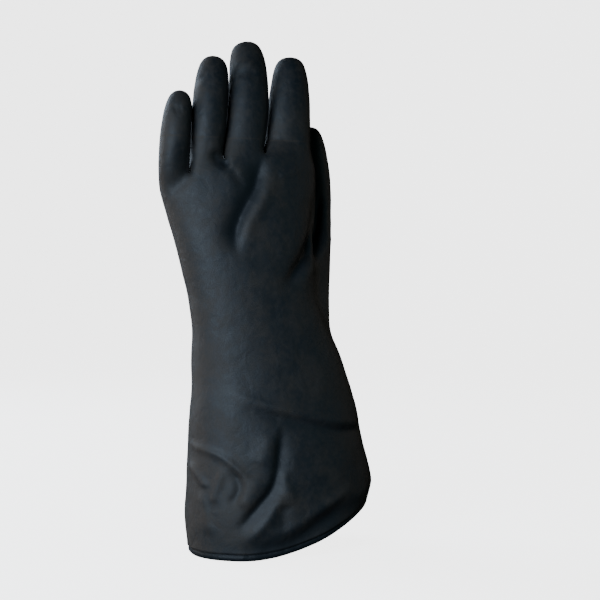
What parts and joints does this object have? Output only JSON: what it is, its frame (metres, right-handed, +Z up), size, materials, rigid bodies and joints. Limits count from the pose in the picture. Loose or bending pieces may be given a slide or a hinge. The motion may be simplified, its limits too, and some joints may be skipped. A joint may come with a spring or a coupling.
{
  "type": "builders glove",
  "caption": "Heavy rubber gauntlet glove for the left hand, standing open on its rolled cuff edge, with four separate fingers and a thumb.",
  "frame": {"origin": "on the floor under the middle of the glove's box, where its cuff stands", "axes": "+Z up from the cuff to the fingertips, +X towards the thumb side, -Y out of the back of the hand, +Y out of the palm"},
  "size_m": [0.1564, 0.0984, 0.3576],
  "materials": {
    "rubber": "matt black dipped rubber with a soft sheen"
  },
  "bodies": {
    "root": {"glove_shell": "rubber"}
  },
  "joints": []
}
